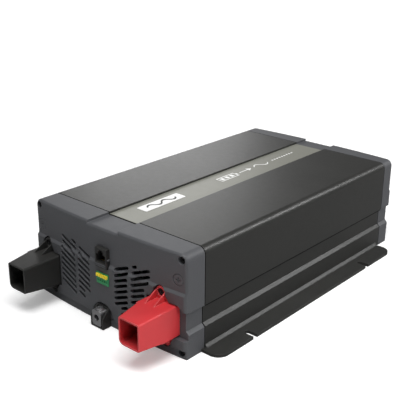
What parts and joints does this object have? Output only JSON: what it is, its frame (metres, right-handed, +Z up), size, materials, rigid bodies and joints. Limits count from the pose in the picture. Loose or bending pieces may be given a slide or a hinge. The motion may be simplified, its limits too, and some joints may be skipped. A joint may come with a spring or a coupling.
{
  "type": "power inverter",
  "caption": "Low, long mains power inverter: ribbed-edge metal housing with side mounting flanges, bowed plastic end caps, sloping fan vents and boxy covers over its battery terminals.",
  "frame": {"origin": "on the mounting face, midway between the side walls and midway along the extruded housing", "axes": "+X towards the positive (red) terminal, +Y from the battery end to the outlet end, +Z up from the mounting face"},
  "size_m": [0.244, 0.402, 0.1],
  "materials": {
    "chassis_metal": "satin black powder coat",
    "cover_metal": "satin black powder coat with a fine grain",
    "label_film": "satin taupe film",
    "slate_plastic": "fine matte texture, slate grey",
    "red_plastic": "semi-gloss red",
    "black_plastic": "semi-gloss black",
    "screw_steel": "black oxide",
    "bright_steel": "zinc plated",
    "tinned_copper": "tin plated",
    "contact_brass": "bright",
    "green_plastic": "semi-gloss green",
    "yellow_plastic": "semi-gloss yellow",
    "board_laminate": "green solder mask",
    "heatsink_aluminium": "plain extruded",
    "ferrite": "matte dark grey",
    "winding_copper": "enamelled",
    "can_sleeve": "dark blue sleeve",
    "fuse_plastic": "orange",
    "lens_plastic": "clear green",
    "lead_insulation": "matte"
  },
  "bodies": {
    "housing": {"base_chassis": "chassis_metal", "top_cover": "cover_metal", "label_strip": "label_film", "front_cap": "slate_plastic", "rear_cap": "slate_plastic", "front_cap_screws": "screw_steel", "rear_cap_screws": "screw_steel", "positive_busbar": "tinned_copper", "negative_busbar": "tinned_copper", "positive_terminal_plate": "slate_plastic", "negative_terminal_plate": "slate_plastic", "data_jack": "black_plastic", "data_jack_contacts": "contact_brass", "spring_terminal": "green_plastic", "wire_clamps": "bright_steel", "port_board": "board_laminate", "port_board_screws": "bright_steel", "ground_bracket": "black_plastic", "ground_lug": "bright_steel", "ground_screw": "bright_steel", "left_fan_frame": "black_plastic", "right_fan_frame": "black_plastic", "fan_screws": "bright_steel", "main_board": "board_laminate", "board_standoffs": "contact_brass", "board_screws": "bright_steel", "left_heatsink": "heatsink_aluminium", "right_heatsink": "heatsink_aluminium", "power_transistors": "black_plastic", "transistor_screws": "bright_steel", "input_capacitors": "can_sleeve", "input_fuses": "fuse_plastic", "transformer_cores": "ferrite", "transformer_windings": "winding_copper", "control_board": "board_laminate", "control_chips": "black_plastic", "bulk_capacitors": "can_sleeve", "choke_core": "ferrite", "choke_winding": "winding_copper", "outlet_body": "black_plastic", "outlet_sleeves": "contact_brass", "outlet_earth_clips": "bright_steel", "outlet_screws": "bright_steel", "outlet_leads": "lead_insulation", "switch_housing": "black_plastic", "status_lens": "lens_plastic"},
    "positive_cover": {"positive_cover": "red_plastic", "positive_cover_screws": "screw_steel"},
    "negative_cover": {"negative_cover": "black_plastic", "negative_cover_screws": "screw_steel"},
    "left_fan_rotor": {"left_fan_rotor": "black_plastic"},
    "right_fan_rotor": {"right_fan_rotor": "black_plastic"},
    "release_button_1": {"release_button_1": "yellow_plastic"},
    "release_button_2": {"release_button_2": "yellow_plastic"},
    "release_button_3": {"release_button_3": "yellow_plastic"},
    "release_button_4": {"release_button_4": "yellow_plastic"},
    "release_button_5": {"release_button_5": "yellow_plastic"},
    "power_rocker": {"power_rocker": "black_plastic"}
  },
  "joints": [
    {"name": "left_fan_spin", "type": "hinge", "parent": "housing", "child": "left_fan_rotor", "pos_m": [-0.038, -0.16, 0.044], "axis": [0, 1, 0], "continuous": true},
    {"name": "right_fan_spin", "type": "hinge", "parent": "housing", "child": "right_fan_rotor", "pos_m": [0.038, -0.16, 0.044], "axis": [0, 1, 0], "continuous": true},
    {"name": "positive_cover_slide", "type": "slide", "parent": "housing", "child": "positive_cover", "axis": [0, -1, 0], "range_m": [0, 0.06]},
    {"name": "negative_cover_slide", "type": "slide", "parent": "housing", "child": "negative_cover", "axis": [0, -1, 0], "range_m": [0, 0.06]},
    {"name": "release_button_1_press", "type": "slide", "parent": "housing", "child": "release_button_1", "axis": [0, 1, 0], "range_m": [0, 0.0012], "stiffness_N_per_m": 300, "springref_m": -0.0005},
    {"name": "release_button_2_press", "type": "slide", "parent": "housing", "child": "release_button_2", "axis": [0, 1, 0], "range_m": [0, 0.0012], "stiffness_N_per_m": 300, "springref_m": -0.0005},
    {"name": "release_button_3_press", "type": "slide", "parent": "housing", "child": "release_button_3", "axis": [0, 1, 0], "range_m": [0, 0.0012], "stiffness_N_per_m": 300, "springref_m": -0.0005},
    {"name": "release_button_4_press", "type": "slide", "parent": "housing", "child": "release_button_4", "axis": [0, 1, 0], "range_m": [0, 0.0012], "stiffness_N_per_m": 300, "springref_m": -0.0005},
    {"name": "release_button_5_press", "type": "slide", "parent": "housing", "child": "release_button_5", "axis": [0, 1, 0], "range_m": [0, 0.0012], "stiffness_N_per_m": 300, "springref_m": -0.0005},
    {"name": "power_rocker_tilt", "type": "hinge", "parent": "housing", "child": "power_rocker", "pos_m": [0, 0.1707, 0.079], "axis": [1, 0, 0], "range_deg": [-16, 0]}
  ]
}
